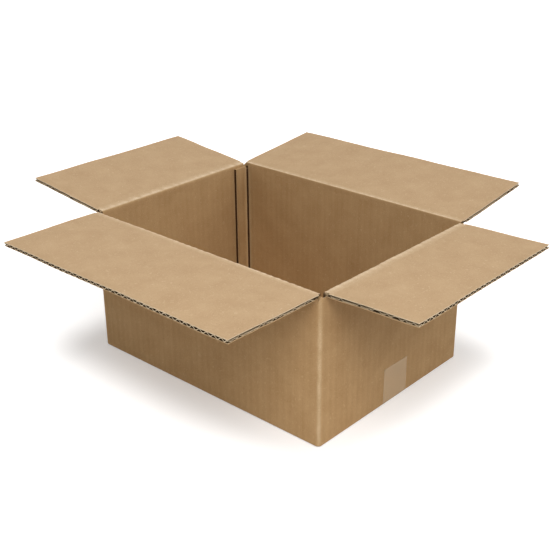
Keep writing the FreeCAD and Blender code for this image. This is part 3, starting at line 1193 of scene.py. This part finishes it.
@dataclass
class TapeStrip:
    """The tape under the bottom seam, turned up on both short walls and torn off at its ends."""

    half_length: float = 152.5 * MM
    bottom_corner: float = 1.6 * MM
    thickness: float = 0.1 * MM
    rise: float = 40.0 * MM
    half_width: float = 19.0 * MM
    offset: float = 3.0 * MM
    wall_gap: float = 0.17 * MM
    tooth: float = 1.6 * MM
    tooth_depth: float = 0.7 * MM
    lines: int = 97
    wall_rows: int = 14

    def build(self, finishes: Finishes) -> Piece:
        """Builds the tape and lets it ride on the box.

        Args:
            finishes: the box's materials.

        Returns:
            The tape's piece.
        """
        y = self.offset + np.linspace(-self.half_width, self.half_width, self.lines)[None]
        line, normal = self._line()
        tooth = np.abs((y / self.tooth) % 1 - 0.5) * 2 * self.tooth_depth
        cut = np.zeros(len(line))
        cut[0] = cut[-1] = 1.0
        drop = cut[:, None] * tooth
        outer = self._points(line + normal * self.thickness, y, drop)
        inner = self._points(line, y, drop)
        flat = paired(y, path_length(line)[:, None])
        shell = closed_sheet(outer, inner, flat, np.zeros(flat.shape[:2]), (Skin.INSIDE,) * 3)
        piece = add_piece("tape_film", [shell], [finishes.film])
        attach(piece, "box")
        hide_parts("bottom_tape")
        report(piece)
        return piece

    def _line(self) -> tuple[np.ndarray, np.ndarray]:
        """The tape's line in XZ: down one wall, round the bottom edge, and up the other wall."""
        r = self.bottom_corner + self.wall_gap
        x = self.half_length + self.wall_gap - r
        z = self.thickness + r
        right_angle = np.radians(np.linspace(270, 360, 9))
        ring = np.stack((np.cos(right_angle), np.sin(right_angle)), -1)
        rows = self.wall_rows
        wall = np.stack((np.full(rows, x + r), np.linspace(z, self.rise, rows + 1)[1:]), -1)
        half = np.concatenate(((np.array(((0.0, self.thickness),))), np.array((x, z)) + r * ring, wall))
        normal = np.concatenate((np.array(((0.0, -1.0),)), ring, np.tile((1.0, 0.0), (rows, 1))))
        mirror = np.array((-1.0, 1.0))
        return np.concatenate((half[:0:-1] * mirror, half)), np.concatenate((normal[:0:-1] * mirror, normal))

    @staticmethod
    def _points(line: np.ndarray, y: np.ndarray, drop: np.ndarray) -> np.ndarray:
        """Points of the strip, with each row lowered by its drop."""
        return paired(line[:, :1], y, line[:, 1:] - drop)


@dataclass(frozen=True)
class Studio:
    """The white sweep, the soft lamps and the camera at the photograph's angle.

    Each sun has a name, an azimuth, an elevation, a spread in degrees, and a strength. The
    softbox has a name, a place, a size and a power.
    """

    azimuth: float = 42.064
    elevation: float = 24.598
    roll: float = -0.43
    place: tuple[float, float, float] = (0.62288, -0.69026, 0.51240)
    lens: float = 62.93
    sensor: float = 36.0
    sweep_size: float = 12.0
    sweep_drop: float = 0.02 * MM
    ambient: float = 0.02
    aim_height: float = 0.08
    suns: tuple[tuple[str, float, float, float, float], ...] = (
        ("key", 50, 56, 45, 1.20),
        ("far_skylight", 230, 52, 80, 0.62),
        ("low_left_fill", -40, 18, 45, 0.70),
        ("low_right_fill", 130, 33, 50, 1.04),
    )
    softbox: tuple[str, tuple[float, float, float], float, float] = (
        "near_softbox", (0.6, -0.58, 0.95), 0.6, 4.9)

    def build(self) -> None:
        """Sets the view transform and builds the sweep, the world, the lamps and the camera."""
        scene = bpy.context.scene
        scene.view_settings.view_transform = "Standard"
        self._sweep()
        self._world()
        for sun in self.suns:
            self._sun(*sun)
        self._lamp(*self.softbox)
        scene.camera = self._camera()

    def _sweep(self) -> None:
        """The floor, a little below the tape's lowest face so that the two never fight."""
        size = self.sweep_size
        mesh = bpy.data.meshes.new("sweep")
        corners = [(-size, -size), (size, -size), (size, size), (-size, size)]
        mesh.from_pydata([(x, y, -self.sweep_drop) for x, y in corners], [], [(0, 1, 2, 3)])
        mesh.materials.append(WhiteSweep().material())
        sweep = bpy.data.objects.new("sweep", mesh)
        bpy.context.scene.collection.objects.link(sweep)

    def _world(self) -> None:
        """White to the camera and in reflections, and a plain soft light to the rest."""
        world = bpy.data.worlds.new("studio")
        bpy.context.scene.world = world
        world.use_nodes = True
        tree = world.node_tree
        tree.nodes.clear()
        inputs = {"Value": seen_directly(tree), "To Min": self.ambient, "To Max": 1.0}
        strength = add_node(tree, "MapRange", inputs)
        glow = add_node(tree, "Background", {"Color": (1, 1, 1, 1), "Strength": strength.outputs[0]})
        add_node(tree, "OutputWorld", {"Surface": glow.outputs[0]})

    def _sun(self, name: str, azimuth: float, elevation: float, spread: float, strength: float) -> None:
        """An even light from far off, as wide as its spread.

        Its direction is (sin a cos e, -cos a cos e, sin e) for azimuth a and elevation e.
        """
        light = bpy.data.lights.new(name, "SUN")
        light.angle = math.radians(spread)
        light.energy = strength
        lamp = bpy.data.objects.new(name, light)
        a, e = math.radians(azimuth), math.radians(elevation)
        towards = Vector((math.sin(a) * math.cos(e), -math.cos(a) * math.cos(e), math.sin(e)))
        lamp.matrix_world = towards.to_track_quat("Z", "Y").to_matrix().to_4x4()
        bpy.context.scene.collection.objects.link(lamp)

    def _lamp(self, name: str, place: tuple[float, float, float], size: float, power: float) -> None:
        """A square soft lamp that looks at the box's middle."""
        light = bpy.data.lights.new(name, "AREA")
        light.size = size
        light.energy = power
        lamp = bpy.data.objects.new(name, light)
        aim = Vector(place) - Vector((0, 0, self.aim_height))
        lamp.matrix_world = Matrix.Translation(place) @ aim.to_track_quat("Z", "Y").to_matrix().to_4x4()
        bpy.context.scene.collection.objects.link(lamp)

    def _camera(self) -> Piece:
        """The camera, from its angles round the box and its small roll.

        Back is (sin a cos e, -cos a cos e, sin e) for azimuth a and elevation e. Right is the
        level cross product, turned about the line of sight by the roll.
        """
        a, e, roll = (math.radians(v) for v in (self.azimuth, self.elevation, self.roll))
        back = Vector((math.sin(a) * math.cos(e), -math.cos(a) * math.cos(e), math.sin(e)))
        level = Vector((math.cos(a), math.sin(a), 0))
        upright = back.cross(level)
        right = level * math.cos(roll) + upright * math.sin(roll)
        data = bpy.data.cameras.new("photo_camera")
        data.lens = self.lens
        data.sensor_width = self.sensor
        camera = bpy.data.objects.new("photo_camera", data)
        turn = Matrix((right, back.cross(right), back)).transposed().to_4x4()
        camera.matrix_world = Matrix.Translation(self.place) @ turn
        bpy.context.scene.collection.objects.link(camera)
        return camera


def fold_liners(flap: TopFlap) -> list[FoldedLiner]:
    """The inner and outer liners over one flap's crease.

    Each runs between the wall's and the flap's corners in level coordinates. The wall's
    corners lie where its top edge meets its faces.
    """
    side = flap.crease.side
    walls = WallLiners()
    face = walls.half_width if side.is_long else walls.half_length
    outer_r = face - float(flap.crease.pivot @ side.outward)
    level = float(flap.crease.pivot[2])
    inner_top = walls.long_inner_top if side.is_long else walls.short_outer_top - BOARD.thickness
    outer_top = walls.long_outer_top if side.is_long else walls.short_outer_top
    seed = flap.seed + 60
    inner = FoldedLiner(flap, (outer_r - BOARD.thickness, inner_top - level), (flap.top_root, flap.top),
                        side.label + "_crease_inner_liner", Skin.INSIDE, seed=seed)
    outer = FoldedLiner(flap, (outer_r, outer_top - level), (flap.floor_root, flap.floor),
                        side.label + "_crease_outer_liner", Skin.OUTSIDE, overlap=1.2 * MM,
                        crumple=0.05 * MM, sunk=0.0, wear=0.3, seed=seed + 1)
    return [inner, outer]


def main() -> None:
    """Builds the studio and every piece of the box, in order, and reports each piece."""
    logging.basicConfig(level=logging.INFO, format="%(name)s: %(message)s")
    Studio().build()
    finishes = Finishes.build()
    body = frame["nodes"]["box_body"]
    body.data.materials.clear()
    body.data.materials.append(finishes.body)
    report(body)
    WallLiners().build(finishes)
    TapeStrip().build(finishes)
    for number, side in enumerate(Side):
        flap = TopFlap(Crease.of(side), seed=1 + 10 * number)
        flap.build(finishes)
        for liner in fold_liners(flap):
            liner.build(finishes)


if __name__ == "__main__":
    main()
